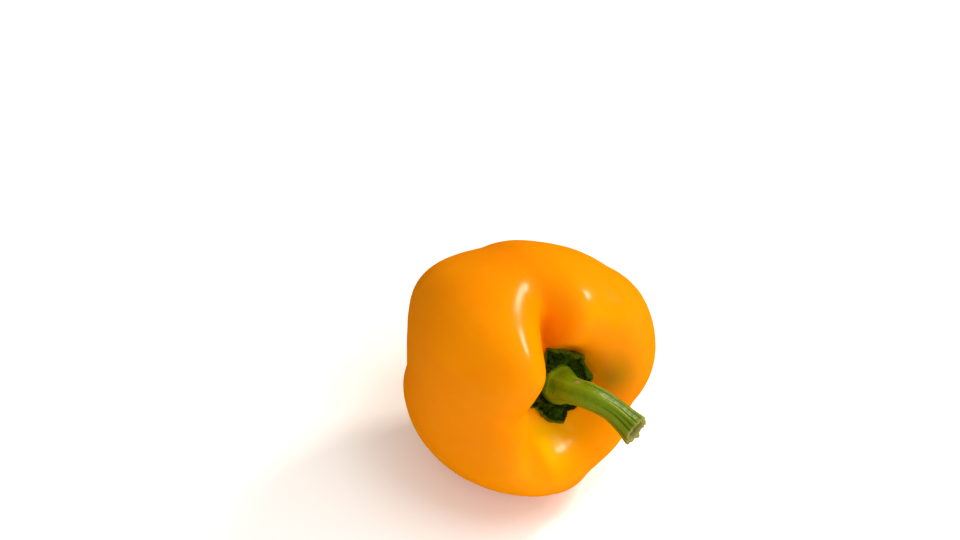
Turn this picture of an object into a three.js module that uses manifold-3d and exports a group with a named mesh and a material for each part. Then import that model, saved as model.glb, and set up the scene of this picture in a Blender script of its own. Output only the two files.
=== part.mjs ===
// A ripe orange bell pepper lying on its side: the fruit, the calyx pressed round its stem seat,
// and the curved, cut stem. Millimetres, +Z up, resting on z = 0 with the stem towards -Y.
//
// The fruit is first modelled in a growing frame: +Z runs along its axis to the stem, +X to the
// right and +Y up as seen looking at the stem end, angles in degrees counter-clockwise from +X.
import * as THREE from "three";
import { mergeVertices } from "three/addons/utils/BufferGeometryUtils.js";
import Module from "manifold-3d";

// Driving dimensions
const STEM_TILT = 12; // degrees that the fruit's axis rises above the surface it lies on
const FLAT_DEPTH = 1; // how far the skin is pressed flat where it rests
const SEAT_HEIGHT = 17.2; // the stem seat, above the middle of the fruit
const HALF_HEIGHT = 45; // the height over which the lean and the twist below are reached
const LEAN_X = -1; // the stem end stands this far to the left of the middle
const TWIST = 6; // degrees that the furrows turn between the middle and the shoulders
const LOBE_BLEND = 7; // how sharply one lobe's own measures give way to the next lobe's
const FURROW_POWER = 1.1; // above 1, furrows narrow and the lobes between them broaden
const GAP = 0.3; // clearance between neighbouring pieces

const FRUIT_RINGS = 60;
const FRUIT_SIDES = 72;
const CALYX_SIDES = 72;
const STEM_RINGS = 16;
const STEM_SIDES = 24;

// Each lobe: its angle, its relative size, how far its shoulder rises, how far its
// foot reaches at the blossom end, and how far its lip stands out from the stem seat.
const LOBES = [
  { angle: 150, size: 1.05, lift: 5.5, foot: 3.2, lip: -1.2 },
  { angle: 238, size: 1.05, lift: 2, foot: 4.2, lip: 3 },
  { angle: 305, size: 0.99, lift: -5, foot: 0, lip: 2.2 },
  { angle: 10, size: 1.155, lift: -7, foot: 1, lip: -2.6 },
  { angle: 74, size: 0.97, lift: -7, foot: 7.3, lip: -0.6 },
];

// Each furrow between two lobes: its angle and its depth at the shoulder, on the side and at the
// foot, where 1 is a full furrow. The one at 33 degrees only begins below the shoulder.
const FURROWS = [
  { angle: 33, depths: { shoulder: 0, side: 0.75, foot: 0.6 } },
  { angle: 85, depths: { shoulder: 1.35, side: 0.22, foot: 0.35 } },
  { angle: 169, depths: { shoulder: 0.7, side: 0.33, foot: 1.5 } },
  { angle: 273, depths: { shoulder: 0.15, side: 0.45, foot: 0.25 } },
  { angle: 322, depths: { shoulder: 0.4, side: 0.45, foot: 0.8 } },
];

// Control rings of the fruit's profile, from the stem seat over the shoulder and down the side to
// the blossom end: radius and height. A full furrow pulls a ring in by cut and down by drop, and
// soft rounds the furrow's floor. Lift, lip and foot are the shares of the lobe's own measures, and
// bowl is how far the wall above the seat sinks as its lobe's lip stands further out.
const PROFILE = [
  { r: 0, z: SEAT_HEIGHT, zone: "shoulder" },
  { r: 7, z: SEAT_HEIGHT, zone: "shoulder" },
  { r: 11, z: SEAT_HEIGHT + 0.5, zone: "shoulder", cut: 0.5 },
  { r: 16, z: 20.5, zone: "shoulder", cut: 1, drop: 3, soft: 0.1, lift: 0.4, lip: 0.5, bowl: 0.4 },
  { r: 18.5, z: 33, zone: "shoulder", cut: 2, drop: 11, soft: 0.1, lift: 1, lip: 1, bowl: 1.2 },
  { r: 30.4, z: 37.9, zone: "shoulder", cut: 3, drop: 12, soft: 0.12, lift: 1, lip: 0.7, bowl: 0.15 },
  { r: 38.4, z: 28, zone: "shoulder", cut: 5, drop: 5, soft: 0.25, lift: 0.5, lip: 0.2 },
  { r: 46.6, z: 6, zone: "side", cut: 4 },
  { r: 44, z: -15.5, zone: "side", cut: 4 },
  { r: 35.1, z: -35.6, zone: "foot", cut: 6, drop: -4, soft: 0.25, foot: 0.6 },
  { r: 22, z: -43, zone: "foot", cut: 5, drop: -7, soft: 0.15, foot: 1 },
  { r: 9, z: -36, zone: "foot", cut: 1, drop: -3, soft: 0.15, foot: 0.4 },
  { r: 4, z: -31, zone: "foot" },
  { r: 0, z: -31, zone: "foot" },
];
const RIGID_RADIUS = 16; // rings up to this radius belong to the seat and keep their size

// The calyx: a thin star whose points lie up the walls round the seat.
const CALYX_THICKNESS = 1.8;
const CALYX_EDGE_THICKNESS = 0.9;
const CALYX_REACH = 0.235; // how far along the profile its edge lies between two points
const CALYX_POINT_REACH = 0.035; // how much further its points lie
const CALYX_POINTS = [32, 102, 165, 222, 272, 310, 352];
const CALYX_POINT_WIDTH = 11; // degrees

// The stem's middle line, from its foot on the calyx to the cut end, and its radius there.
const STEM_LINE = [
  { at: [1, 0.6, 0], radius: 7.2 },
  { at: [1, 0.6, 3], radius: 6.8 },
  { at: [1.4, 1.5, 9], radius: 5 },
  { at: [4.2, 0.2, 16.1], radius: 4.8 },
  { at: [8.5, -3.8, 21.6], radius: 4.8 },
  { at: [11.8, -7.8, 26.2], radius: 5.2 },
  { at: [13.4, -10.6, 30.2], radius: 6.1 },
];
const STEM_RIBS = 6;
const STEM_RIB_HEIGHT = 0.05; // of the radius

const TURN = 2 * Math.PI;
const radians = THREE.MathUtils.degToRad;

// Weights of the four control points round parameter t (0 to 1) of a uniform cubic B-spline whose
// first and last control points count three times, so that it starts and ends on them.
function splineWeights(count, t) {
  const spans = count + 1;
  const span = Math.min(Math.floor(t * spans), spans - 1);
  const f = t * spans - span;
  const weights = [(1 - f) ** 3, 3 * f ** 3 - 6 * f ** 2 + 4, -3 * f ** 3 + 3 * f ** 2 + 3 * f + 1, f ** 3];
  return weights.map((weight, k) => {
    const index = Math.min(Math.max(span + k - 2, 0), count - 1);
    return [index, weight / 6];
  });
}

// One of the lobes' own measures at an angle, blended smoothly round the axis.
function lobeMeasure(angle, key) {
  let total = 0;
  let sum = 0;
  for (const lobe of LOBES) {
    const weight = Math.exp(LOBE_BLEND * (Math.cos(angle - radians(lobe.angle)) - 1));
    total += weight;
    sum += weight * lobe[key];
  }
  return sum / total;
}

// The furrows on both sides of an angle, and how far it lies from the first (0) to the second (1).
function furrowsBeside(angle) {
  const degrees = (THREE.MathUtils.radToDeg(angle) % 360 + 360) % 360;
  const found = FURROWS.findLastIndex((furrow) => furrow.angle <= degrees);
  const before = FURROWS.at(found);
  const after = FURROWS[(found + 1) % FURROWS.length];
  const gap = (after.angle - before.angle + 360) % 360;
  return { before, after, share: ((degrees - before.angle + 360) % 360) / gap };
}

// How deep the surface lies in a furrow at an angle: 1 on a full furrow's floor, 0 on a crest.
function furrowDepth(beside, zone, soft) {
  const { before, after, share } = beside;
  const ease = share * share * (3 - 2 * share);
  const floor = THREE.MathUtils.lerp(before.depths[zone], after.depths[zone], ease);
  const rise = Math.hypot(Math.sin(Math.PI * share), soft) - soft;
  const full = Math.hypot(1, soft) - soft;
  return floor * Math.max(0, 1 - rise / full) ** FURROW_POWER;
}

// A point of the skin: t runs from the stem seat (0) to the blossom end (1), angle in radians.
function skinPoint(t, angle) {
  const beside = furrowsBeside(angle);
  const size = lobeMeasure(angle, "size");
  const lift = lobeMeasure(angle, "lift");
  const lip = lobeMeasure(angle, "lip");
  const foot = lobeMeasure(angle, "foot");
  let radius = 0;
  let height = 0;
  for (const [index, weight] of splineWeights(PROFILE.length, t)) {
    const ring = PROFILE[index];
    const depth = furrowDepth(beside, ring.zone, ring.soft ?? 0.3);
    const grown = ring.r > RIGID_RADIUS ? ring.r * size : ring.r;
    radius += weight * (grown - (ring.cut ?? 0) * depth + (ring.lip ?? 0) * lip);
    const raised = (ring.lift ?? 0) * lift - (ring.foot ?? 0) * foot - (ring.bowl ?? 0) * lip;
    height += weight * (ring.z + raised - (ring.drop ?? 0) * depth);
  }
  const share = height / HALF_HEIGHT;
  const turned = angle + radians(TWIST) * share;
  return new THREE.Vector3(radius * Math.cos(turned) + LEAN_X * share, radius * Math.sin(turned), height);
}

// The skin's outward direction, from two short steps on the surface.
function skinNormal(t, angle) {
  const step = 1e-3;
  const here = skinPoint(t, angle);
  const along = skinPoint(t + step, angle).sub(here);
  const round = skinPoint(t, angle + step).sub(here);
  return along.cross(round).normalize();
}

// A closed surface over rings of points: first and last are single points, the rings between them
// run counter-clockwise seen from the first point's side.
function closedSurface(first, rings, last) {
  const sides = rings[0].length;
  const points = [first, ...rings.flat(), last];
  const indices = [];
  for (let k = 0; k < sides; k++) {
    const next = (k + 1) % sides;
    indices.push(0, 1 + k, 1 + next);
    for (let i = 0; i < rings.length - 1; i++) {
      const above = 1 + i * sides;
      const below = above + sides;
      indices.push(above + k, below + k, below + next);
      indices.push(above + k, below + next, above + next);
    }
    const lowest = 1 + (rings.length - 1) * sides;
    indices.push(points.length - 1, lowest + next, lowest + k);
  }
  const geometry = new THREE.BufferGeometry().setFromPoints(points);
  geometry.setIndex(indices);
  return geometry;
}

function circle(sides, pointAt) {
  return Array.from({ length: sides }, (_, k) => pointAt((TURN * k) / sides));
}

// The geometry without what lies on the far side of a plane.
async function trimmed(geometry, normal, offset) {
  const wasm = await Module();
  wasm.setup();
  const merged = mergeVertices(geometry);
  const vertProperties = new Float32Array(merged.attributes.position.array);
  const triVerts = new Uint32Array(merged.index.array);
  const solid = new wasm.Manifold(new wasm.Mesh({ numProp: 3, vertProperties, triVerts }));
  const mesh = solid.trimByPlane(normal.toArray(), offset).getMesh();
  const result = new THREE.BufferGeometry();
  result.setAttribute("position", new THREE.BufferAttribute(mesh.vertProperties, 3));
  result.setIndex(Array.from(mesh.triVerts));
  return result;
}

// The fruit: the skin law, with the spot that it rests on pressed flat.
async function fruitGeometry(up) {
  const rings = [];
  for (let i = 1; i < FRUIT_RINGS; i++) {
    rings.push(circle(FRUIT_SIDES, (angle) => skinPoint(i / FRUIT_RINGS, angle)));
  }
  const whole = closedSurface(skinPoint(0, 0), rings, skinPoint(1, 0));
  const lowest = Math.min(...rings.flat().map((point) => point.dot(up)));
  return trimmed(whole, up, lowest + FLAT_DEPTH);
}

// How far along the profile the calyx reaches at an angle.
function calyxReach(angle) {
  const points = CALYX_POINTS.map((degrees) => {
    const away = THREE.MathUtils.euclideanModulo(angle - radians(degrees) + Math.PI, TURN) - Math.PI;
    return Math.exp(-(Math.abs(away / radians(CALYX_POINT_WIDTH)) ** 1.3));
  });
  return CALYX_REACH + CALYX_POINT_REACH * Math.max(...points);
}

// The calyx: the skin's own shape raised clear of it, thinning towards its edge.
function calyxGeometry() {
  const raised = (share, thickness) => (angle) => {
    const t = share * calyxReach(angle);
    return skinPoint(t, angle).addScaledVector(skinNormal(t, angle), GAP + thickness);
  };
  const shares = [0.25, 0.5, 0.7, 0.85, 1];
  const thicknessAt = (share) => THREE.MathUtils.lerp(CALYX_THICKNESS, CALYX_EDGE_THICKNESS, share * share);
  const top = shares.map((share) => circle(CALYX_SIDES, raised(share, thicknessAt(share))));
  const underside = shares.toReversed().map((share) => circle(CALYX_SIDES, raised(share, 0)));
  const centre = skinPoint(0, 0);
  const peak = centre.clone().setZ(centre.z + GAP + CALYX_THICKNESS);
  const hollow = centre.clone().setZ(centre.z + GAP);
  return closedSurface(peak, [...top, ...underside], hollow);
}

// The stem: a ribbed tube along its curved middle line, from the cut end down to its foot.
function stemGeometry() {
  const foot = SEAT_HEIGHT + GAP + CALYX_THICKNESS + GAP;
  const places = STEM_LINE.map(({ at }) => new THREE.Vector3(at[0], at[1], at[2] + foot));
  const line = new THREE.CatmullRomCurve3(places);
  const radii = new THREE.SplineCurve(STEM_LINE.map(({ radius }, k) => new THREE.Vector2(k, radius)));
  const { tangents, normals, binormals } = line.computeFrenetFrames(STEM_RINGS, false);
  const rings = [];
  for (let i = STEM_RINGS; i >= 0; i--) {
    const u = i / STEM_RINGS;
    const t = line.getUtoTmapping(u);
    const middle = line.getPoint(t);
    const radius = radii.getPoint(t).y;
    rings.push(circle(STEM_SIDES, (angle) => {
      const ribbed = radius * (1 + STEM_RIB_HEIGHT * Math.cos(STEM_RIBS * angle));
      return middle.clone()
        .addScaledVector(normals[i], ribbed * Math.cos(angle))
        .addScaledVector(binormals[i], ribbed * Math.sin(angle));
    }));
  }
  return closedSurface(line.getPoint(1), rings, line.getPoint(0));
}

function piece(name, geometry, color, roughness) {
  geometry.computeVertexNormals();
  const mesh = new THREE.Mesh(geometry, new THREE.MeshStandardMaterial({ color, roughness, metalness: 0 }));
  mesh.name = name;
  return mesh;
}

// The fruit lies on its side: its axis is tipped down to the surface, then raised by the tilt.
const lying = new THREE.Group();
lying.rotation.x = radians(90 - STEM_TILT);
const up = new THREE.Vector3(0, 0, 1).applyQuaternion(lying.quaternion.clone().invert());

lying.add(piece("fruit", await fruitGeometry(up), "#f08c02", 0.22));
lying.add(piece("calyx", calyxGeometry(), "#2f4a0c", 0.5));
lying.add(piece("stem", stemGeometry(), "#7f9a2a", 0.45));

// The origin is under the middle of the whole, on the surface.
const box = new THREE.Box3().setFromObject(lying, true);
const middle = box.getCenter(new THREE.Vector3());
lying.position.set(-middle.x, -middle.y, -box.min.z);

const pepper = new THREE.Group();
pepper.add(lying);

export default pepper;
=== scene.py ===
import math

import bpy
import numpy as np
from mathutils import Matrix, Vector, noise


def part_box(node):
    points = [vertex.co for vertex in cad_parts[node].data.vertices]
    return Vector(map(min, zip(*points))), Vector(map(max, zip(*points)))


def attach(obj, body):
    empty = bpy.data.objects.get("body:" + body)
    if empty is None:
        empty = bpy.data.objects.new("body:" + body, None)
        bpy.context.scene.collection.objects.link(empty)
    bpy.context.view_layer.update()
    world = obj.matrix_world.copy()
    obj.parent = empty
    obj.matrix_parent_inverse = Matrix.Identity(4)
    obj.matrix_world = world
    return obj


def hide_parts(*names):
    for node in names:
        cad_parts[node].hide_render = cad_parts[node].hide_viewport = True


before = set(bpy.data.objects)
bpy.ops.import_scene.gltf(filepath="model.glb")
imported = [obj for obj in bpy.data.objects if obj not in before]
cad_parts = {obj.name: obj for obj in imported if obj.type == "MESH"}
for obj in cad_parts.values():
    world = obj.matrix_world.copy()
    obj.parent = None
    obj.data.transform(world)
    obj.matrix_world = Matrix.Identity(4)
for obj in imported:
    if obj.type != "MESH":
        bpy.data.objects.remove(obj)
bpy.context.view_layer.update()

# ---- The fruit -----------------------------------------------------------------------------------
# One hollow pod that grew as lobes round the stem, with furrows between them, a sunk seat for the
# calyx and a puckered blossom end: a thick wall of flesh under a waxy, ripe orange skin. It lies on
# its side, pressed flat where it rests.

# It is worked out as it grew, in millimetres: +Z along its axis to the stem, and angles in degrees,
# counter-clockwise as seen from the stem.
STEM_TILT = 12.0
SEAT_HEIGHT = 17.2
HALF_HEIGHT = 45.0
LEAN_X = -1.0
TWIST = 6.0
RIGID_RADIUS = 16.0

# Each lobe's own size, how far its shoulder is lifted, how far its foot reaches down, and how far
# its lip leans outwards round the bowl.
LOBE_BLEND = 7.0
LOBES = [
    {"angle": 150, "size": 1.05, "lift": 5.5, "foot": 3.2, "lip": -1.2},
    {"angle": 238, "size": 1.05, "lift": 2, "foot": 4.2, "lip": 3},
    {"angle": 305, "size": 0.99, "lift": -5, "foot": 0, "lip": 2.2},
    {"angle": 10, "size": 1.155, "lift": -7, "foot": 1, "lip": -2.6},
    {"angle": 74, "size": 0.97, "lift": -7, "foot": 7.3, "lip": -0.6},
]

# How deep each furrow is on the shoulder, down the side and at the foot.
FURROW_POWER = 1.1
FURROW_SOFTNESS = 0.3
FURROWS = [
    {"angle": 33, "shoulder": 0, "side": 0.75, "foot": 0.6},
    {"angle": 85, "shoulder": 1.35, "side": 0.22, "foot": 0.35},
    {"angle": 169, "shoulder": 0.7, "side": 0.33, "foot": 1.5},
    {"angle": 273, "shoulder": 0.15, "side": 0.45, "foot": 0.25},
    {"angle": 322, "shoulder": 0.4, "side": 0.45, "foot": 0.8},
]

# The control rings from the seat to the blossom end. A full furrow cuts a ring's radius and drops
# its height; soft rounds the furrow's floor; lift, lip, bowl and foot are shares of the lobes' own.
PROFILE = [
    {"r": 0, "z": SEAT_HEIGHT, "zone": "shoulder"},
    {"r": 7, "z": SEAT_HEIGHT, "zone": "shoulder"},
    {"r": 11, "z": SEAT_HEIGHT + 0.5, "zone": "shoulder", "cut": 0.5},
    {"r": 16, "z": 20.5, "zone": "shoulder", "cut": 1, "drop": 3, "soft": 0.1,
     "lift": 0.4, "lip": 0.5, "bowl": 0.4},
    {"r": 18.5, "z": 33, "zone": "shoulder", "cut": 2, "drop": 11, "soft": 0.1,
     "lift": 1, "lip": 1, "bowl": 1.2},
    {"r": 30.4, "z": 37.9, "zone": "shoulder", "cut": 3, "drop": 12, "soft": 0.12,
     "lift": 1, "lip": 0.7, "bowl": 0.15},
    {"r": 38.4, "z": 28, "zone": "shoulder", "cut": 5, "drop": 5, "soft": 0.25,
     "lift": 0.5, "lip": 0.2},
    {"r": 46.6, "z": 6, "zone": "side", "cut": 4},
    {"r": 44, "z": -15.5, "zone": "side", "cut": 4},
    {"r": 35.1, "z": -35.6, "zone": "foot", "cut": 6, "drop": -4, "soft": 0.25, "foot": 0.6},
    {"r": 22, "z": -43, "zone": "foot", "cut": 5, "drop": -7, "soft": 0.15, "foot": 1},
    {"r": 9, "z": -36, "zone": "foot", "cut": 1, "drop": -3, "soft": 0.15, "foot": 0.4},
    {"r": 4, "z": -31, "zone": "foot"},
    {"r": 0, "z": -31, "zone": "foot"},
]


def spline_weight(distance):
    """How much a control point counts at a distance along a uniform cubic B-spline."""
    away = np.abs(distance)
    near = (4 - 6 * away**2 + 3 * away**3) / 6
    far = (2 - away) ** 3 / 6
    return np.where(away < 1, near, np.where(away < 2, far, 0.0))


def spline(controls, t):
    """The values at t, 0 to 1, on a spline that starts and ends on its first and last controls."""
    last = len(controls) - 1
    place = t * (last + 2)
    return sum(
        spline_weight(place - (number - 1)) * controls[min(max(number - 2, 0), last)]
        for number in range(last + 5)
    )


def lobe_measure(angle, key):
    """One of the lobes' own measures, blended smoothly round the axis."""
    away = [angle - math.radians(lobe["angle"]) for lobe in LOBES]
    shares = [np.exp(LOBE_BLEND * (np.cos(turn) - 1)) for turn in away]
    return sum(share * lobe[key] for share, lobe in zip(shares, LOBES)) / sum(shares)


def furrow_depth(angle, zone, soft):
    """1 on the floor of a full furrow, 0 on the crest of a lobe."""
    degrees = np.degrees(angle) % 360
    starts = np.array([furrow["angle"] for furrow in FURROWS])
    depths = np.array([furrow[zone] for furrow in FURROWS])
    before = (np.searchsorted(starts, degrees, side="right") - 1) % len(FURROWS)
    after = (before + 1) % len(FURROWS)
    share = ((degrees - starts[before]) % 360) / ((starts[after] - starts[before]) % 360)
    ease = share * share * (3 - 2 * share)
    floor_depth = depths[before] * (1 - ease) + depths[after] * ease
    rise = np.hypot(np.sin(np.pi * share), soft) - soft
    full_rise = math.hypot(1, soft) - soft
    return floor_depth * np.maximum(0, 1 - rise / full_rise) ** FURROW_POWER


def skin(t, angle):
    """Points of the skin: t runs from the stem seat, 0, to the blossom end, 1."""
    t, angle = np.broadcast_arrays(np.asarray(t, float), np.asarray(angle, float))
    size, lift, lip, foot = (lobe_measure(angle, key) for key in ("size", "lift", "lip", "foot"))
    radii, heights = [], []
    for ring in PROFILE:
        depth = furrow_depth(angle, ring["zone"], ring.get("soft", FURROW_SOFTNESS))
        grown = ring["r"] * size if ring["r"] > RIGID_RADIUS else ring["r"]
        radii.append(grown - ring.get("cut", 0) * depth + ring.get("lip", 0) * lip)
        raised = ring.get("lift", 0) * lift - ring.get("foot", 0) * foot - ring.get("bowl", 0) * lip
        heights.append(ring["z"] + raised - ring.get("drop", 0) * depth)
    radius, height = spline(radii, t), spline(heights, t)
    share = height / HALF_HEIGHT
    turned = angle + math.radians(TWIST) * share
    return np.stack([radius * np.cos(turned) + LEAN_X * share, radius * np.sin(turned), height], -1)


def skin_normal(t, angle):
    """The skin's outward direction, from two short steps on it."""
    step = 1e-3
    here = skin(t, angle)
    across = np.cross(skin(t + step, angle) - here, skin(t, angle + step) - here)
    return across / np.linalg.norm(across, axis=-1, keepdims=True)


SKIN_RINGS = 246
SKIN_SIDES = 400
skin_t = np.linspace(0, 1, SKIN_RINGS + 1)[1:-1, None]
skin_angle = np.linspace(0, 2 * np.pi, SKIN_SIDES, endpoint=False)[None, :]
smooth_skin = skin(skin_t, skin_angle)

# Lying down, the axis is tipped level and then raised by the tilt. The fruit's highest point and
# the middle of its box are the ones that the frame gives.
LYING = np.array(Matrix.Rotation(math.radians(90 - STEM_TILT), 3, "X"))


def tip_over(points):
    """Points in millimetres, laid down and given in metres."""
    return points @ LYING.T / 1000


own_low = tip_over(smooth_skin).min((0, 1))
own_high = tip_over(smooth_skin).max((0, 1))
cad_low, cad_high = (np.array(corner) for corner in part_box("fruit"))
SHIFT = (cad_low + cad_high - own_low - own_high) / 2
SHIFT[2] = cad_high[2] - own_high[2]


def lay(points):
    """From the growing frame, in millimetres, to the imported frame, in metres."""
    return tip_over(points) + SHIFT


def bell(away):
    """1 at 0, and down smoothly to almost 0 at 2 on either side."""
    return np.exp(-(away**2))


def away_from(angle, degrees):
    """The turn from a direction in degrees to an angle, in degrees from -180 to 180."""
    return (np.degrees(angle) - degrees + 180) % 360 - 180


def ripple(points, wavelength, seed):
    """Smooth noise of about -1 to 1 at each point, in bumps of about that many millimetres."""
    shift = Vector((seed * 7.3, seed * 3.1, seed * 5.7))
    places = points.reshape(-1, 3) / wavelength
    return np.array([noise.noise(Vector(place) + shift) for place in places]).reshape(points.shape[:-1])


def closed_mesh(name, first, grid, last, attributes):
    """A smooth closed mesh over rings of points between two single ones."""
    rings, sides = grid.shape[:2]
    points = np.vstack([first, grid.reshape(-1, 3), last])
    side = np.arange(sides)
    after = (side + 1) % sides
    lowest = 1 + (rings - 1) * sides
    top_cap = np.stack([0 * side, 1 + side, 1 + after], -1)
    end_cap = np.stack([0 * side + len(points) - 1, lowest + after, lowest + side], -1)
    faces = top_cap.tolist() + end_cap.tolist()
    for start in range(1, lowest, sides):
        below = start + sides
        faces += np.stack([start + side, below + side, below + after, start + after], -1).tolist()
    mesh = bpy.data.meshes.new(name)
    mesh.from_pydata(points.tolist(), [], faces)
    mesh.polygons.foreach_set("use_smooth", [True] * len(mesh.polygons))
    for key, values in attributes.items():
        ends = [values[0].mean(), *values.ravel(), values[-1].mean()]
        mesh.attributes.new(key, "FLOAT", "POINT").data.foreach_set("value", ends)
    piece = bpy.data.objects.new(name, mesh)
    bpy.context.scene.collection.objects.link(piece)
    return piece


# The skin is smooth but faintly uneven. Round the dry scar of the blossom it rises in a low rim and
# gathers into small puckers. The distance from that end is in steps of t.
SKIN_INSET = 0.22
SWELL = 0.16
SWELL_LENGTH = 16.0
SMALL_SWELL_LENGTH = 7.0
DIMPLE = 0.03
DIMPLE_LENGTH = 4.5
SCAR_EDGE = 0.135
SCAR_RIM = 0.35
SCAR_RIM_WIDTH = 0.018
PUCKER = 0.1
PUCKERS = 17
PUCKER_WIDTH = 0.04
REST_SOFTNESS = 0.0003

swell = ripple(smooth_skin, SWELL_LENGTH, 1) + 0.5 * ripple(smooth_skin, SMALL_SWELL_LENGTH, 2)
dimples = ripple(smooth_skin, DIMPLE_LENGTH, 3)
from_tip = 1 - skin_t + 0.012 * np.sin(5 * skin_angle) + 0.008 * np.sin(11 * skin_angle + 1)
puckered = bell((from_tip - SCAR_EDGE - PUCKER_WIDTH) / PUCKER_WIDTH)
puckers = np.cos(PUCKERS * skin_angle) * puckered
scar_rim = bell((from_tip - SCAR_EDGE) / SCAR_RIM_WIDTH)
relief = SWELL * swell + DIMPLE * dimples + PUCKER * puckers + SCAR_RIM * scar_rim - SKIN_INSET
skin_points = lay(smooth_skin + skin_normal(skin_t, skin_angle) * relief[..., None])

# The surface that it rests on stops the skin, which bends gently into the flat spot.
heights = skin_points[..., 2]
bent = (heights + np.hypot(heights, REST_SOFTNESS)) / 2 - REST_SOFTNESS / 4
skin_points[..., 2] = np.maximum(bent, 0)

# Two painted patches: a dark olive one, partly the skin's own tint and partly painted shade
# from the stem, and a brighter yellow one inside the bowl, which is painted light.
OLIVE_AND_SHADE_PATCH = {"angle": 352, "width": 25, "t": 0.33, "length": 0.05}
PAINTED_LIGHT_PATCH = {"angle": 244, "width": 40, "t": 0.285, "length": 0.055}


def skin_patch(angle, width, t, length):
    """1 in the middle of a soft patch of the skin, 0 well outside it."""
    return bell(away_from(skin_angle, angle) / width) * bell((skin_t - t) / length)


fruit = closed_mesh(
    "pepper_fruit",
    lay(skin(0.0, 0.0)),
    skin_points,
    lay(skin(1.0, 0.0)),
    {
        "furrow_shade": furrow_depth(skin_angle + 0 * skin_t, "shoulder", soft=0.1),
        "green": skin_patch(**OLIVE_AND_SHADE_PATCH),
        "painted_light": skin_patch(**PAINTED_LIGHT_PATCH),
        "scar": np.exp(-((from_tip / SCAR_EDGE) ** 6)),
    },
)


class Value:
    """A number that varies over a surface. Arithmetic on it adds Math nodes."""

    def __init__(self, finish, socket):
        self.finish = finish
        self.socket = socket

    def math(self, operation, *terms):
        sockets = dict(enumerate(terms))
        return self.finish.node("ShaderNodeMath", {"operation": operation}, sockets, 0)

    def __add__(self, other):
        return self.math("ADD", self, other)

    def __sub__(self, other):
        return self.math("SUBTRACT", self, other)

    def __rsub__(self, other):
        return self.math("SUBTRACT", other, self)

    def __mul__(self, other):
        return self.math("MULTIPLY", self, other)

    __radd__ = __add__
    __rmul__ = __mul__

    def spread(self, low, high):
        """0 where the number is low or less, 1 where it is high or more."""
        sockets = {"Value": self, "From Min": low, "From Max": high}
        return self.finish.node("ShaderNodeMapRange", {"clamp": True}, sockets, 0)


class Finish:
    """The material of one piece: a Principled shader and the nodes that feed it."""

    def __init__(self, name, sockets):
        self.material = bpy.data.materials.new(name)
        self.material.use_nodes = True
        self.nodes = self.material.node_tree.nodes
        self.shader = self.nodes["Principled BSDF"]
        self.feed(self.shader, sockets)

    def feed(self, node, sockets):
        """Links a node's sockets to Values, or sets them to constants."""
        for key, value in sockets.items():
            if isinstance(value, Value):
                self.material.node_tree.links.new(value.socket, node.inputs[key])
            else:
                node.inputs[key].default_value = value

    def node(self, kind, settings, sockets, output):
        """A new node with its settings, then its sockets' values or links, as its output's Value."""
        node = self.nodes.new(kind)
        for key, value in settings.items():
            setattr(node, key, value)
        self.feed(node, sockets)
        return Value(self, node.outputs[output])

    def attribute(self, name):
        """A number that the mesh carries at its points."""
        return self.node("ShaderNodeAttribute", {"attribute_name": name}, {}, "Fac")

    def place(self, scale=(1.0, 1.0, 1.0)):
        """The place on the object in metres, stretched along its axes."""
        where = self.node("ShaderNodeTexCoord", {}, {}, "Object")
        return self.node("ShaderNodeVectorMath", {"operation": "MULTIPLY"}, {0: where, 1: scale}, 0)

    def mottle(self, per_metre, detail, stretch=(1.0, 1.0, 1.0)):
        """Soft noise round 0.5, with that many spots to the metre."""
        sockets = {"Vector": self.place(stretch), "Scale": per_metre, "Detail": detail}
        return self.node("ShaderNodeTexNoise", {}, sockets, "Fac")

    def cells(self, per_metre):
        """The distance from the middle of the nearest of small cells."""
        sockets = {"Vector": self.place(), "Scale": per_metre}
        return self.node("ShaderNodeTexVoronoi", {}, sockets, "Distance")

    def blend(self, first, second, share):
        """From one colour to another."""
        settings = {"data_type": "RGBA", "clamp_factor": True}
        return self.node("ShaderNodeMix", settings, {0: share, 6: first, 7: second}, 2)

    def bump(self, height, depth):
        """Fine relief of that depth in metres."""
        sockets = {"Height": height, "Strength": 1.0, "Distance": depth}
        return self.node("ShaderNodeBump", {}, sockets, "Normal")

    def paint(self, piece, slot, **sockets):
        """Feeds the shader and gives the finish to the piece."""
        self.feed(self.shader, {key.replace("_", " "): value for key, value in sockets.items()})
        piece.data.materials.append(self.material)


SKIN_ORANGE = (0.84, 0.245, 0.0, 1)
SKIN_DEEP = (0.80, 0.175, 0.0, 1)
SKIN_BRIGHT = (0.86, 0.30, 0.0, 1)
SKIN_OLIVE_AND_SHADE = (0.30, 0.15, 0.0, 1)
SKIN_PAINTED_LIGHT = (0.95, 0.50, 0.0, 1)
SCAR_BROWN = (0.16, 0.09, 0.03, 1)
ALONG_FRUIT = (1.0, 0.22, 1.0)

waxy_skin = Finish(
    "waxy_orange_skin",
    {
        "Specular IOR Level": 0.0,
        "Coat Weight": 0.27,
        "Coat Roughness": 0.19,
        "Subsurface Weight": 0.1,
        "Subsurface Radius": (1.0, 0.35, 0.05),
        "Subsurface Scale": 0.004,
    },
)
patches = waxy_skin.mottle(per_metre=45, detail=3).spread(0.3, 0.7)
streaks = waxy_skin.mottle(per_metre=160, detail=3, stretch=ALONG_FRUIT).spread(0.35, 0.7)
flecks = waxy_skin.mottle(per_metre=900, detail=2).spread(0.45, 0.75)
# The olive patch is partly the skin's own tint and partly painted shade from the stem.
olive_and_shade_share = waxy_skin.attribute("green") * (0.55 + 0.5 * waxy_skin.mottle(per_metre=90, detail=3))
scar_share = waxy_skin.attribute("scar")
skin_colour = waxy_skin.blend(SKIN_ORANGE, SKIN_BRIGHT, patches * 0.5)
skin_colour = waxy_skin.blend(skin_colour, SKIN_DEEP, streaks * 0.22)
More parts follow.
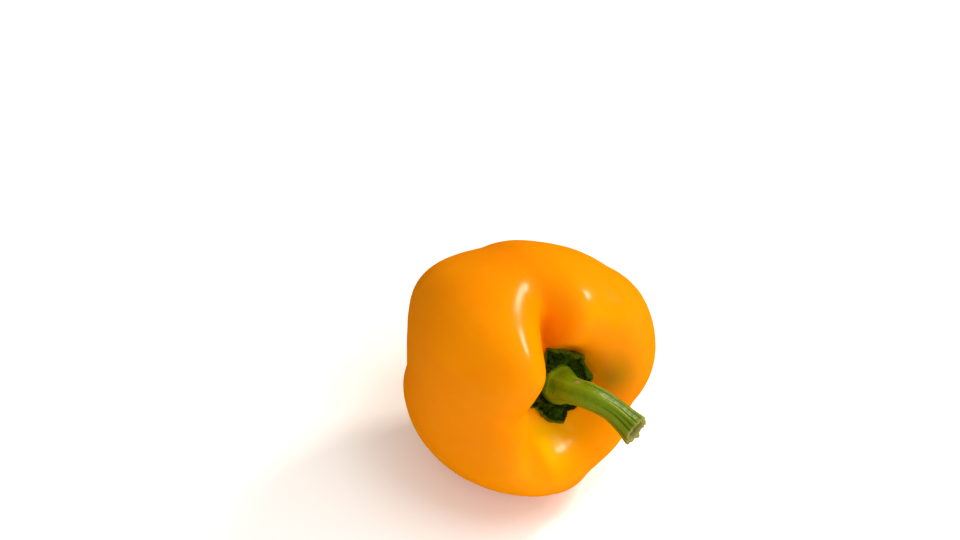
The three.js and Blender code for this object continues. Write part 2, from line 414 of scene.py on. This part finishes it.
# Painted shade: the floors of the furrows are painted a deeper orange.
skin_colour = waxy_skin.blend(skin_colour, SKIN_DEEP, waxy_skin.attribute("furrow_shade") * 0.35)
skin_colour = waxy_skin.blend(skin_colour, SKIN_BRIGHT, flecks * 0.16)
# Painted light: a brighter yellow where light falls on the wall inside the bowl.
skin_colour = waxy_skin.blend(skin_colour, SKIN_PAINTED_LIGHT, waxy_skin.attribute("painted_light") * 0.8)
skin_colour = waxy_skin.blend(skin_colour, SKIN_OLIVE_AND_SHADE, olive_and_shade_share)
skin_colour = waxy_skin.blend(skin_colour, SCAR_BROWN, scar_share * 0.9)
waxy_skin.paint(
    fruit,
    "skin",
    Base_Color=skin_colour,
    Roughness=0.34 + 0.1 * waxy_skin.mottle(per_metre=260, detail=3) + 0.3 * scar_share,
    Normal=waxy_skin.bump(waxy_skin.mottle(per_metre=500, detail=3), depth=0.000012),
)
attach(fruit, "root")
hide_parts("fruit")

# ---- The calyx -----------------------------------------------------------------------------------
# The flower's dark green, fleshy calyx, which stayed on: a crinkled star pressed into the seat,
# with short points that lift at their tips and a low collar round the foot of the stem.

# How far the star reaches along the skin at each angle: its tips and the notches between them.
CALYX_OUTLINE = [
    (12, 16.6),
    (26, 17.4),
    (40, 20.4),
    (58, 15.6),
    (84, 13.6),
    (108, 10.6),
    (140, 16.6),
    (154, 14.2),
    (168, 17.4),
    (182, 13.2),
    (194, 12.6),
    (214, 11.0),
    (242, 13.4),
    (268, 18.2),
    (284, 14.0),
    (308, 17.6),
    (326, 14.2),
    (352, 18.8),
]
CALYX_NOTCH = 14.0
CALYX_POINT = 4.0
CALYX_THICKNESS = 1.7
THINNEST = 0.35
CALYX_CLEARANCE = 0.3
CALYX_SIDES = 360
CALYX_RINGS = 72


def on_skin_at(length, angle):
    """The skin's t after going that many millimetres outwards along it from the seat's middle."""
    steps = np.linspace(0, 0.5, 260)
    walked = np.zeros((len(steps), len(angle)))
    moved = np.diff(skin(steps[:, None], angle[None, :]), axis=0)
    walked[1:] = np.cumsum(np.linalg.norm(moved, axis=-1), axis=0)
    return np.stack([np.interp(length[:, k], walked[:, k], steps) for k in range(len(angle))], -1)


calyx_angle = np.linspace(0, 2 * np.pi, CALYX_SIDES, endpoint=False)
outline_at, outline_reach = np.array(CALYX_OUTLINE).T
edge_wander = 0.35 * np.sin(9 * calyx_angle + 1) + 0.2 * np.sin(23 * calyx_angle + 2)
calyx_edge = edge_wander + np.interp(np.degrees(calyx_angle), outline_at, outline_reach, period=360)
point_share = np.clip((calyx_edge - CALYX_NOTCH) / CALYX_POINT, 0, 1)

# The rings go out over the top from the middle, 0, to the edge, 1, and back underneath.
top_share = np.sin(np.linspace(0.03, 1, CALYX_RINGS) * np.pi / 2)
under_share = top_share[::-1][1:]
calyx_share = np.concatenate([top_share, under_share])[:, None]
is_top = np.concatenate([np.ones(len(top_share)), np.zeros(len(under_share))])[:, None]
calyx_t = on_skin_at(calyx_share * calyx_edge, calyx_angle)
calyx_base = skin(calyx_t, calyx_angle)
outer = np.clip(calyx_share * 2.6 - 1.1, 0, 1)

# The flesh stands up in cushions with creases between them, and folds up along each point.
CUSHION = 1.25
CUSHION_SIZE = 2.6
SMALL_CUSHION = 0.35
SMALL_CUSHION_SIZE = 1.3
CREASE_DEPTH = 0.7
BUCKLE = 0.8
BUCKLE_LENGTH = 4.0
FOLD = 0.9
COLLAR = 1.5
COLLAR_RADIUS = 7.4
COLLAR_WIDTH = 1.3
RIM = 0.5
RIM_SHARE = 0.93
RIM_WIDTH = 0.05
EDGE_ROUND_SHARE = 0.88
POINT_LIFT = 1.6
POINT_LIFT_SHARE = 0.7
EDGE_LIFT = 0.6
EDGE_LIFT_SHARE = 0.78
EDGE_LIFT_LENGTH = 5.0


def past(share, start):
    """0 up to the start, rising evenly to 1 at the edge."""
    return np.clip((share - start) / (1 - start), 0, 1)


def blisters(points, size, seed):
    """Rounded cushions of about that many millimetres, 0 in the creases between them, 1 on top."""
    shift = Vector((seed * 4.9, seed * 6.1, seed * 2.3))
    nearest = [noise.voronoi(Vector(place) + shift)[0] for place in points.reshape(-1, 3) / size]
    gaps = np.array([found[1] - found[0] for found in nearest]).reshape(points.shape[:-1])
    return np.clip(gaps / 0.45, 0, 1) ** 0.6


cushions = blisters(calyx_base, CUSHION_SIZE, 4)
cushions = cushions + SMALL_CUSHION * blisters(calyx_base, SMALL_CUSHION_SIZE, 5)
quilt = CUSHION * cushions - CREASE_DEPTH + BUCKLE * ripple(calyx_base, BUCKLE_LENGTH, 6)
fold = FOLD * (point_share - 0.35)
collar = COLLAR * bell((calyx_share * calyx_edge - COLLAR_RADIUS) / COLLAR_WIDTH)
rim = RIM * bell((calyx_share - RIM_SHARE) / RIM_WIDTH)
flesh = CALYX_THICKNESS * (1 - 0.3 * calyx_share) + collar + rim + (fold + quilt) * outer
edge_round = np.sqrt(1 - past(calyx_share, EDGE_ROUND_SHARE) ** 2)
lifted_points = POINT_LIFT * point_share * past(calyx_share, POINT_LIFT_SHARE) ** 2
lifted_edge = EDGE_LIFT * past(calyx_share, EDGE_LIFT_SHARE)
lifted = lifted_points + lifted_edge * (1 + ripple(calyx_base, EDGE_LIFT_LENGTH, 7))
calyx_height = CALYX_CLEARANCE + lifted + is_top * edge_round * np.maximum(flesh, THINNEST)
calyx_out = skin_normal(calyx_t, calyx_angle)
calyx_middle = skin(0.0, 0.0) + [0, 0, CALYX_CLEARANCE]
calyx = closed_mesh(
    "pepper_calyx",
    lay(calyx_middle + [0, 0, CALYX_THICKNESS]),
    lay(calyx_base + calyx_out * calyx_height[..., None]),
    lay(calyx_middle),
    {
        "edge": calyx_share + 0 * calyx_edge,
        "cushion": cushions / (1 + SMALL_CUSHION),
        "vein": point_share**2 * outer * np.clip((1 - calyx_share) * 4, 0, 1),
    },
)

CALYX_DARK_AND_CREASE_SHADE = (0.0008, 0.003, 0.0001, 1)
CALYX_GREEN = (0.010, 0.042, 0.0003, 1)
CALYX_PALE = (0.06, 0.125, 0.001, 1)

calyx_flesh = Finish("crinkled_calyx_green", {"Specular IOR Level": 0.4})
# Painted shade: the creases between the cushions are painted almost black; the mottle also darkens spots
# at random.
cushion_out_of_shade = calyx_flesh.attribute("cushion").spread(0.3, 1.0)
cushion_out_of_shade = cushion_out_of_shade * calyx_flesh.mottle(per_metre=140, detail=2).spread(0.3, 0.6)
speckled = calyx_flesh.mottle(per_metre=420, detail=3).spread(0.4, 0.75)
veined = speckled * 0.4 + calyx_flesh.attribute("vein") * 0.35
calyx_colour = calyx_flesh.blend(CALYX_DARK_AND_CREASE_SHADE, CALYX_GREEN, cushion_out_of_shade)
calyx_colour = calyx_flesh.blend(calyx_colour, CALYX_PALE, veined)
on_rim = calyx_flesh.attribute("edge").spread(0.9, 0.99)
calyx_colour = calyx_flesh.blend(calyx_colour, CALYX_PALE, on_rim * 0.6)
pores = calyx_flesh.mottle(per_metre=1100, detail=3) - 0.6 * calyx_flesh.cells(per_metre=900)
calyx_flesh.paint(
    calyx,
    "calyx_green",
    Base_Color=calyx_colour,
    Roughness=0.1 + 0.25 * calyx_flesh.mottle(per_metre=600, detail=2),
    Normal=calyx_flesh.bump(pores, depth=0.00035),
)
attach(calyx, "root")
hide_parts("calyx")

# ---- The stem ------------------------------------------------------------------------------------
# The fruit's stalk, cut off the plant: a solid green stem that swells where it joins the calyx,
# bends over as the fruit's weight pulled it down, and flares and ribs towards the cut.
STEM_LINE = np.array(
    [
        [1, 0.6, 0],
        [1, 0.6, 3],
        [1.4, 1.5, 9],
        [4.7, 0.6, 16.1],
        [9, -3.4, 21.6],
        [11.8, -7.8, 26.1],
        [13.2, -11, 30.1],
    ]
)
STEM_RADII = np.array([7.2, 6.8, 5, 4.7, 4.4, 4.8, 5.5])
STEM_FOOT = SEAT_HEIGHT + 2.4
STEM_RINGS = 150
STEM_SIDES = 132


def through(points, t):
    """A smooth curve through evenly numbered points, at t from 0 to 1."""
    whole = points.reshape(len(points), -1)
    padded = np.vstack([2 * whole[0] - whole[1], whole, 2 * whole[-1] - whole[-2]])
    place = t * (len(points) - 1)
    start = np.minimum(place.astype(int), len(points) - 2)
    part = (place - start)[:, None]
    a, b, c, d = (padded[start + number] for number in range(4))
    bend = 2 * a - 5 * b + 4 * c - d + part * (3 * (b - c) + d - a)
    return (b + part / 2 * (c - a + part * bend)).reshape((len(place),) + points.shape[1:])


def carried_frame(along):
    """Two directions across each step of a line, carried along it without twisting."""
    across = [np.array([1.0, 0, 0])]
    for direction in along:
        side = across[-1] - direction * (across[-1] @ direction)
        across.append(side / np.linalg.norm(side))
    across = np.array(across[1:])
    return across, np.cross(along, across)


stem_t = np.linspace(0, 1, STEM_RINGS)
stem_middle = through(STEM_LINE, stem_t) + [0, 0, STEM_FOOT]
stem_along = np.gradient(stem_middle, axis=0)
stem_along /= np.linalg.norm(stem_along, axis=1, keepdims=True)
stem_across, stem_beside = carried_frame(stem_along)
stem_angle = np.linspace(0, 2 * np.pi, STEM_SIDES, endpoint=False)
stem_out = (
    np.cos(stem_angle)[None, :, None] * stem_across[:, None, :]
    + np.sin(stem_angle)[None, :, None] * stem_beside[:, None, :]
)
on_stem = stem_t[:, None]

# Ribs and grooves run along it and grow stronger towards the cut. Each groove has its angle and
# the share of the stem at which it starts.
STEM_RIBS = 6
FINE_RIBS = 23
GROOVES = [(84, 0.25), (116, 0.6), (137, 0.55), (158, 0.5), (196, 0.6), (255, 0.4), (330, 0.35)]
GROOVE_DEPTH = 0.38
GROOVE_WIDTH = 3.5
GROOVE_RUN_IN = 0.3

rib = 0.5 + 0.5 * np.cos(STEM_RIBS * stem_angle + 0.6 * np.sin(2 * stem_angle + 1))[None, :]
fine_rib = np.cos(FINE_RIBS * stem_angle + 1.4 * np.sin(3 * stem_angle))[None, :]
ribbed = 1 + (0.035 + 0.05 * on_stem**2) * (rib**1.5 - 0.4) + 0.009 * (0.3 + on_stem**2) * fine_rib
groove = sum(
    bell(away_from(stem_angle, angle) / GROOVE_WIDTH) * np.clip((on_stem - start) / GROOVE_RUN_IN, 0, 1)
    for angle, start in GROOVES
)
stem_radius = through(STEM_RADII, stem_t)[:, None] * ribbed - GROOVE_DEPTH * groove
stem_skin = stem_middle[:, None, :] + stem_out * stem_radius[..., None]

# It is a little lumpy, and wrinkled across where it bends out of its swollen foot.
LUMP = 0.16
LUMP_LENGTH = 3.5
SMALL_LUMP = 0.06
SMALL_LUMP_LENGTH = 1.1
WRINKLE = 0.045
WRINKLES = 44
WRINKLE_T = 0.28
WRINKLE_SPREAD = 0.12

wrinkle = np.sin(2 * np.pi * (on_stem * WRINKLES + 0.25 * np.sin(2 * stem_angle)))
lumps = LUMP * ripple(stem_skin, LUMP_LENGTH, 7) + SMALL_LUMP * ripple(stem_skin, SMALL_LUMP_LENGTH, 8)
lumps = lumps + WRINKLE * wrinkle * bell((on_stem - WRINKLE_T) / WRINKLE_SPREAD)

# The cut: a slanting, ragged rim, a wall of fibres and a sunk, torn pith.
CUT_LONG_SIDE = np.array([-0.24, -0.74, -0.62])
CUT_SLANT = 1.35
CUT_SLANT_START = 0.8
RAGGED_START = 0.96
CUT_RINGS = 26
TORN = 0.45
TORN_LENGTH = 0.9
PITH_SHARE = 0.58
PITH_STEEPNESS = 22
PITH_DEPTH = 2.2
CUT_RIM_SHARE = 0.8

slanted = CUT_SLANT * stem_out @ CUT_LONG_SIDE
ragged = (0.7 * ripple(stem_skin, 1.3, 9) + 0.5 * ripple(stem_skin, 3, 11)) * past(on_stem, RAGGED_START)
longer = ragged + slanted * past(on_stem, CUT_SLANT_START)
stem_skin = stem_skin + stem_out * lumps[..., None] + stem_along[:, None, :] * longer[..., None]

cut_share = np.linspace(1, 0.03, CUT_RINGS)[1:, None]
cut_flat = stem_middle[-1] + stem_out[-1] * (stem_radius[-1] * cut_share)[..., None]
torn = ripple(cut_flat, TORN_LENGTH, 10)
pith = 1 / (1 + np.exp((cut_share - PITH_SHARE) * PITH_STEEPNESS))
cut_rim = past(cut_share, CUT_RIM_SHARE)
cut_height = TORN * torn - PITH_DEPTH * pith * (1 + 0.35 * torn)
cut_height = cut_height + longer[-1] * cut_rim + slanted[-1] * cut_share * (1 - cut_rim)
cut_skin = cut_flat + stem_along[-1] * cut_height[..., None]


def stem_and_cut(stem_part, cut_part):
    """Rings of the stem's side and then of its cut, in the mesh's order, from the cut to the foot."""
    side = stem_part + np.zeros((STEM_RINGS, STEM_SIDES))
    end = cut_part + np.zeros((CUT_RINGS - 1, STEM_SIDES))
    return np.concatenate([side, end])[::-1]


BLEMISH_ANGLE = 93
BLEMISH_T = 0.4
BLEMISH_WIDTH = 12
BLEMISH_LENGTH = 0.018

blemish = bell(away_from(stem_angle, BLEMISH_ANGLE) / BLEMISH_WIDTH)
blemish = blemish * bell((on_stem - BLEMISH_T) / BLEMISH_LENGTH)
stem = closed_mesh(
    "pepper_stem",
    lay(cut_skin[-1].mean(0)),
    lay(np.concatenate([stem_skin, cut_skin])[::-1]),
    lay(stem_middle[0]),
    {
        "along": stem_and_cut(on_stem, 1),
        "groove": stem_and_cut(groove, 0),
        "blemish": stem_and_cut(blemish, 0),
        "rib": stem_and_cut(rib, 0),
        "cut": stem_and_cut(past(on_stem, 0.97) * 0.7, 1),
        "pith": stem_and_cut(0, pith),
    },
)

STEM_GREEN = (0.115, 0.18, 0.0004, 1)
STEM_DARK_AND_GROOVE_SHADE = (0.04, 0.075, 0.0008, 1)
STEM_PALE_AND_HIGHLIGHT = (0.20, 0.27, 0.006, 1)
CUT_TAN = (0.28, 0.27, 0.06, 1)
PITH_HOLLOW_SHADE = (0.06, 0.045, 0.01, 1)
BLEMISH_TAN = (0.36, 0.22, 0.09, 1)
ALONG_STEM = (1.0, 0.25, 1.0)

stem_rind = Finish("ribbed_stem_green", {"Specular IOR Level": 0.3})
grain = stem_rind.mottle(per_metre=420, detail=4)
fibres = stem_rind.mottle(per_metre=900, detail=3, stretch=ALONG_STEM).spread(0.5, 0.8)
near_foot = 1 - stem_rind.attribute("along").spread(0.02, 0.14)
on_cut = stem_rind.attribute("cut") * (0.6 + 0.7 * stem_rind.mottle(per_metre=700, detail=3))
stem_colour = stem_rind.blend(STEM_GREEN, STEM_DARK_AND_GROOVE_SHADE, grain.spread(0.45, 0.8) * 0.5)
# Painted highlight: the crests of the ribs are painted lighter, all round the stem.
stem_colour = stem_rind.blend(stem_colour, STEM_PALE_AND_HIGHLIGHT, stem_rind.attribute("rib") * 0.4)
stem_colour = stem_rind.blend(stem_colour, STEM_PALE_AND_HIGHLIGHT, fibres * 0.25)
# Painted shade: the grooves are painted dark.
stem_colour = stem_rind.blend(stem_colour, STEM_DARK_AND_GROOVE_SHADE, stem_rind.attribute("groove") * 0.85)
stem_colour = stem_rind.blend(stem_colour, STEM_DARK_AND_GROOVE_SHADE, near_foot * 0.6)
stem_colour = stem_rind.blend(stem_colour, BLEMISH_TAN, stem_rind.attribute("blemish") * 0.8)
stem_colour = stem_rind.blend(stem_colour, CUT_TAN, on_cut)
# Painted shade: the sunk pith is painted dark brown, down in the hollow of the cut.
stem_colour = stem_rind.blend(stem_colour, PITH_HOLLOW_SHADE, stem_rind.attribute("pith") * 0.85)
stem_pores = grain + 0.5 * stem_rind.mottle(per_metre=1500, detail=3)
stem_rind.paint(
    stem,
    "stem_green",
    Base_Color=stem_colour,
    Roughness=0.2 + 0.25 * grain,
    Normal=stem_rind.bump(stem_pores, depth=0.0002),
)
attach(stem, "root")
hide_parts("stem")

# ---- The studio ----------------------------------------------------------------------------------
# A plain white table under soft boxes: a small warm key from the right, a broad one overhead and a
# fainter one in front. Only the key shows in the gloss. The camera looks down at the stem end.
TABLE_HALF_WIDTH = 3
VIEW_AZIMUTH = -33.3
VIEW_ELEVATION = 40.0
VIEW_DISTANCE = 0.976
LENS = 100.0
ASIDE = -0.01654
ABOVE = 0.03433

scene = bpy.context.scene
scene.view_settings.view_transform = "Standard"

reach = TABLE_HALF_WIDTH
table_mesh = bpy.data.meshes.new("table_top")
table_corners = [(-reach, -reach, 0), (reach, -reach, 0), (reach, reach, 0), (-reach, reach, 0)]
table_mesh.from_pydata(table_corners, [], [(0, 1, 2, 3)])
white_table = Finish(
    "white_table",
    {
        "Base Color": (0.93, 0.93, 0.93, 1),
        "Roughness": 0.7,
        "Specular IOR Level": 0.1,
        "Emission Color": (1, 1, 1, 1),
        "Emission Strength": 0.12,
    },
)
table_mesh.materials.append(white_table.material)
table = bpy.data.objects.new("table_top", table_mesh)
table.visible_glossy = False
scene.collection.objects.link(table)

world = bpy.data.worlds.new("studio")
world.use_nodes = True
world.node_tree.nodes["Background"].inputs["Color"].default_value = (1.0, 0.9, 0.76, 1)
world.node_tree.nodes["Background"].inputs["Strength"].default_value = 0.5
world.cycles_visibility.glossy = False
scene.world = world


def direction_to(azimuth, elevation):
    """The unit direction from the object towards an azimuth and an elevation."""
    turn, rise = math.radians(azimuth), math.radians(elevation)
    return Vector((math.sin(turn) * math.cos(rise), -math.cos(turn) * math.cos(rise), math.sin(rise)))


def soft_box(name, azimuth, elevation, distance, width, colour, radiance, in_gloss):
    """A square soft box that faces the object, with that radiance, which shows in gloss or not."""
    lamp = bpy.data.lights.new(name, "AREA")
    lamp.shape = "SQUARE"
    lamp.size = width
    lamp.energy = radiance * math.pi * width**2
    lamp.color = colour
    box = bpy.data.objects.new(name, lamp)
    box.location = direction_to(azimuth, elevation) * distance
    box.rotation_euler = direction_to(azimuth, elevation).to_track_quat("Z", "Y").to_euler()
    box.visible_glossy = in_gloss
    scene.collection.objects.link(box)


soft_box("key", 92, 40, 1.6, 0.32, (1.0, 0.95, 0.82), 44, in_gloss=True)
soft_box("overhead", 35, 62, 2.0, 1.3, (1.0, 1.0, 1.0), 3.6, in_gloss=False)
soft_box("front", -12, 28, 2.0, 1.4, (1.0, 1.0, 1.0), 2.2, in_gloss=False)

camera_data = bpy.data.cameras.new("camera")
camera_data.lens = LENS
camera_data.clip_start = 0.01
camera = bpy.data.objects.new("camera", camera_data)
towards_camera = direction_to(VIEW_AZIMUTH, VIEW_ELEVATION)
facing = towards_camera.to_track_quat("Z", "Y")
aimed_at = Vector(lay(np.zeros(3))) + facing @ Vector((ASIDE, ABOVE, 0))
camera.location = aimed_at + towards_camera * VIEW_DISTANCE
camera.rotation_euler = facing.to_euler()
scene.collection.objects.link(camera)
scene.camera = camera
